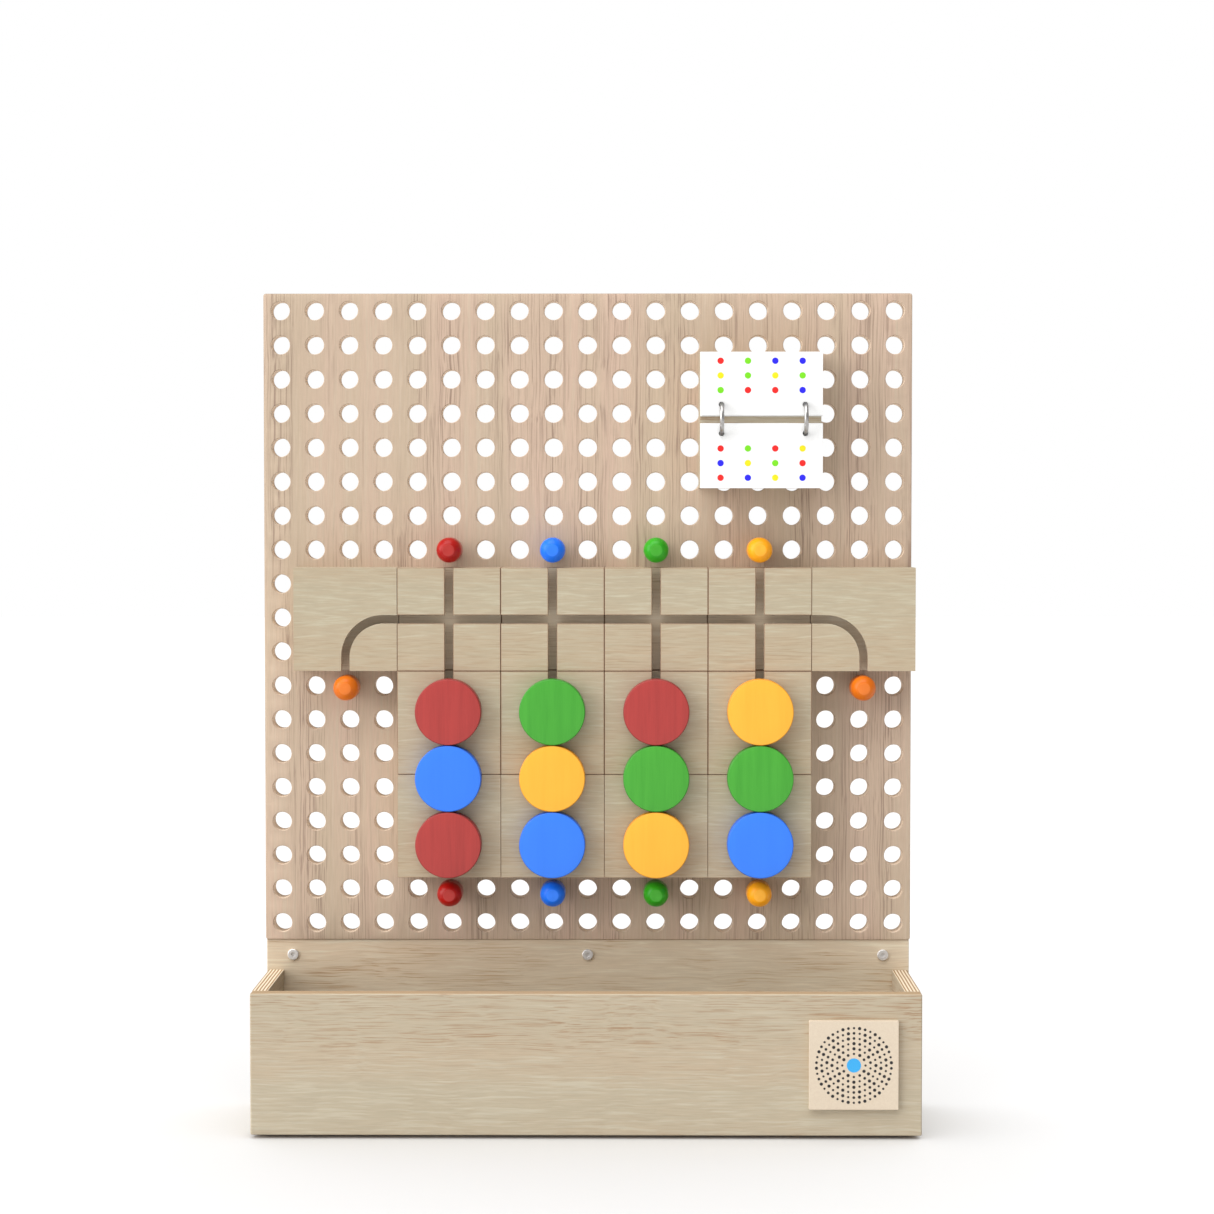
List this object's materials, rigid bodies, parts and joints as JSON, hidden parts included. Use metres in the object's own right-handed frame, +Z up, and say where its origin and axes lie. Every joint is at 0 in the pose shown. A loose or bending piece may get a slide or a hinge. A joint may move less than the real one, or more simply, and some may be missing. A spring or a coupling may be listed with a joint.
{
  "type": "pegboard disc sorting game",
  "caption": "Upright perforated wooden board on an open tray, with track tiles, coloured sliding discs, pull-out stop pegs and ringed flip cards.",
  "frame": {"origin": "middle of the footprint, on the surface that the pads stand on", "axes": "+X to the right as seen from the front, +Y from the tray's front wall towards the board, +Z up"},
  "size_m": [0.38, 0.092, 0.48],
  "materials": {
    "board_wood": "satin vertical grain",
    "tray_wood": "satin horizontal grain",
    "tile_wood": "satin horizontal grain",
    "dowel_wood": "plain turned",
    "bolt_steel": "satin",
    "ring_chrome": "polished",
    "pad_rubber": "matte",
    "plaque_plastic": "printed, matte",
    "card_white": "coated, matte",
    "disc_red": "stained and lacquered, satin",
    "disc_blue": "stained and lacquered, satin",
    "disc_green": "stained and lacquered, satin",
    "disc_yellow": "stained and lacquered, satin",
    "peg_red": "glossy",
    "peg_blue": "glossy",
    "peg_green": "glossy",
    "peg_yellow": "glossy",
    "peg_orange": "glossy"
  },
  "bodies": {
    "stand": {"pegboard": "board_wood", "tray_back_rail": "tray_wood", "tray_front_panel": "tray_wood", "tray_side_left": "tray_wood", "tray_side_right": "tray_wood", "tray_bottom": "tray_wood", "tray_dowels": "dowel_wood", "rail_bolts": "bolt_steel", "rail_nuts": "bolt_steel", "foot_pads": "pad_rubber", "plaque": "plaque_plastic", "bend_tile_left": "tile_wood", "bend_tile_right": "tile_wood", "cross_tile_1": "tile_wood", "cross_tile_2": "tile_wood", "cross_tile_3": "tile_wood", "cross_tile_4": "tile_wood", "lane_tile_1": "tile_wood", "lane_tile_2": "tile_wood", "lane_tile_3": "tile_wood", "lane_tile_4": "tile_wood", "lane_end_tile_1": "tile_wood", "lane_end_tile_2": "tile_wood", "lane_end_tile_3": "tile_wood", "lane_end_tile_4": "tile_wood", "tile_dowels": "dowel_wood", "card_block": "tile_wood", "card_block_dowels": "dowel_wood", "ring_left": "ring_chrome", "ring_right": "ring_chrome", "upper_card_stack": "card_white", "lower_card_stack": "card_white"},
    "upper_card": {"upper_card": "card_white"},
    "lower_card": {"lower_card": "card_white"},
    "top_peg_1": {"top_peg_1": "peg_red"},
    "top_peg_2": {"top_peg_2": "peg_blue"},
    "top_peg_3": {"top_peg_3": "peg_green"},
    "top_peg_4": {"top_peg_4": "peg_yellow"},
    "bottom_peg_1": {"bottom_peg_1": "peg_red"},
    "bottom_peg_2": {"bottom_peg_2": "peg_blue"},
    "bottom_peg_3": {"bottom_peg_3": "peg_green"},
    "bottom_peg_4": {"bottom_peg_4": "peg_yellow"},
    "left_exit_peg": {"left_exit_peg": "peg_orange"},
    "right_exit_peg": {"right_exit_peg": "peg_orange"},
    "lower_disc_1": {"lower_disc_1": "disc_red"},
    "lower_disc_2": {"lower_disc_2": "disc_blue"},
    "lower_disc_3": {"lower_disc_3": "disc_yellow"},
    "lower_disc_4": {"lower_disc_4": "disc_blue"},
    "middle_disc_1": {"middle_disc_1": "disc_blue"},
    "middle_disc_2": {"middle_disc_2": "disc_yellow"},
    "middle_disc_3": {"middle_disc_3": "disc_green"},
    "middle_disc_4": {"middle_disc_4": "disc_green"},
    "upper_disc_1": {"upper_disc_1": "disc_red"},
    "upper_disc_2": {"upper_disc_2": "disc_green"},
    "upper_disc_3": {"upper_disc_3": "disc_red"},
    "upper_disc_4": {"upper_disc_4": "disc_yellow"}
  },
  "joints": [
    {"name": "upper_card_flip", "type": "hinge", "parent": "stand", "child": "upper_card", "pos_m": [0.1015, 0.0044, 0.4055], "axis": [1, 0, 0], "range_deg": [0, 178]},
    {"name": "lower_card_flip", "type": "hinge", "parent": "stand", "child": "lower_card", "pos_m": [0.1015, 0.0044, 0.4055], "axis": [-1, 0, 0], "range_deg": [0, 178]},
    {"name": "top_peg_1_pull", "type": "slide", "parent": "stand", "child": "top_peg_1", "axis": [0, -1, 0], "range_m": [0, 0.03]},
    {"name": "top_peg_2_pull", "type": "slide", "parent": "stand", "child": "top_peg_2", "axis": [0, -1, 0], "range_m": [0, 0.03]},
    {"name": "top_peg_3_pull", "type": "slide", "parent": "stand", "child": "top_peg_3", "axis": [0, -1, 0], "range_m": [0, 0.03]},
    {"name": "top_peg_4_pull", "type": "slide", "parent": "stand", "child": "top_peg_4", "axis": [0, -1, 0], "range_m": [0, 0.03]},
    {"name": "bottom_peg_1_pull", "type": "slide", "parent": "stand", "child": "bottom_peg_1", "axis": [0, -1, 0], "range_m": [0, 0.03]},
    {"name": "bottom_peg_2_pull", "type": "slide", "parent": "stand", "child": "bottom_peg_2", "axis": [0, -1, 0], "range_m": [0, 0.03]},
    {"name": "bottom_peg_3_pull", "type": "slide", "parent": "stand", "child": "bottom_peg_3", "axis": [0, -1, 0], "range_m": [0, 0.03]},
    {"name": "bottom_peg_4_pull", "type": "slide", "parent": "stand", "child": "bottom_peg_4", "axis": [0, -1, 0], "range_m": [0, 0.03]},
    {"name": "left_exit_peg_pull", "type": "slide", "parent": "stand", "child": "left_exit_peg", "axis": [0, -1, 0], "range_m": [0, 0.03]},
    {"name": "right_exit_peg_pull", "type": "slide", "parent": "stand", "child": "right_exit_peg", "axis": [0, -1, 0], "range_m": [0, 0.03]},
    {"name": "lower_disc_1_slide", "type": "slide", "parent": "stand", "child": "lower_disc_1", "axis": [0, 0, 1], "range_m": [0, 0.022]},
    {"name": "middle_disc_1_slide", "type": "slide", "parent": "lower_disc_1", "child": "middle_disc_1", "axis": [0, 0, 1], "range_m": [0, 0.022]},
    {"name": "upper_disc_1_slide", "type": "slide", "parent": "middle_disc_1", "child": "upper_disc_1", "axis": [0, 0, 1], "range_m": [0, 0.022]},
    {"name": "lower_disc_2_slide", "type": "slide", "parent": "stand", "child": "lower_disc_2", "axis": [0, 0, 1], "range_m": [0, 0.022]},
    {"name": "middle_disc_2_slide", "type": "slide", "parent": "lower_disc_2", "child": "middle_disc_2", "axis": [0, 0, 1], "range_m": [0, 0.022]},
    {"name": "upper_disc_2_slide", "type": "slide", "parent": "middle_disc_2", "child": "upper_disc_2", "axis": [0, 0, 1], "range_m": [0, 0.022]},
    {"name": "lower_disc_3_slide", "type": "slide", "parent": "stand", "child": "lower_disc_3", "axis": [0, 0, 1], "range_m": [0, 0.022]},
    {"name": "middle_disc_3_slide", "type": "slide", "parent": "lower_disc_3", "child": "middle_disc_3", "axis": [0, 0, 1], "range_m": [0, 0.022]},
    {"name": "upper_disc_3_slide", "type": "slide", "parent": "middle_disc_3", "child": "upper_disc_3", "axis": [0, 0, 1], "range_m": [0, 0.022]},
    {"name": "lower_disc_4_slide", "type": "slide", "parent": "stand", "child": "lower_disc_4", "axis": [0, 0, 1], "range_m": [0, 0.022]},
    {"name": "middle_disc_4_slide", "type": "slide", "parent": "lower_disc_4", "child": "middle_disc_4", "axis": [0, 0, 1], "range_m": [0, 0.022]},
    {"name": "upper_disc_4_slide", "type": "slide", "parent": "middle_disc_4", "child": "upper_disc_4", "axis": [0, 0, 1], "range_m": [0, 0.022]}
  ]
}
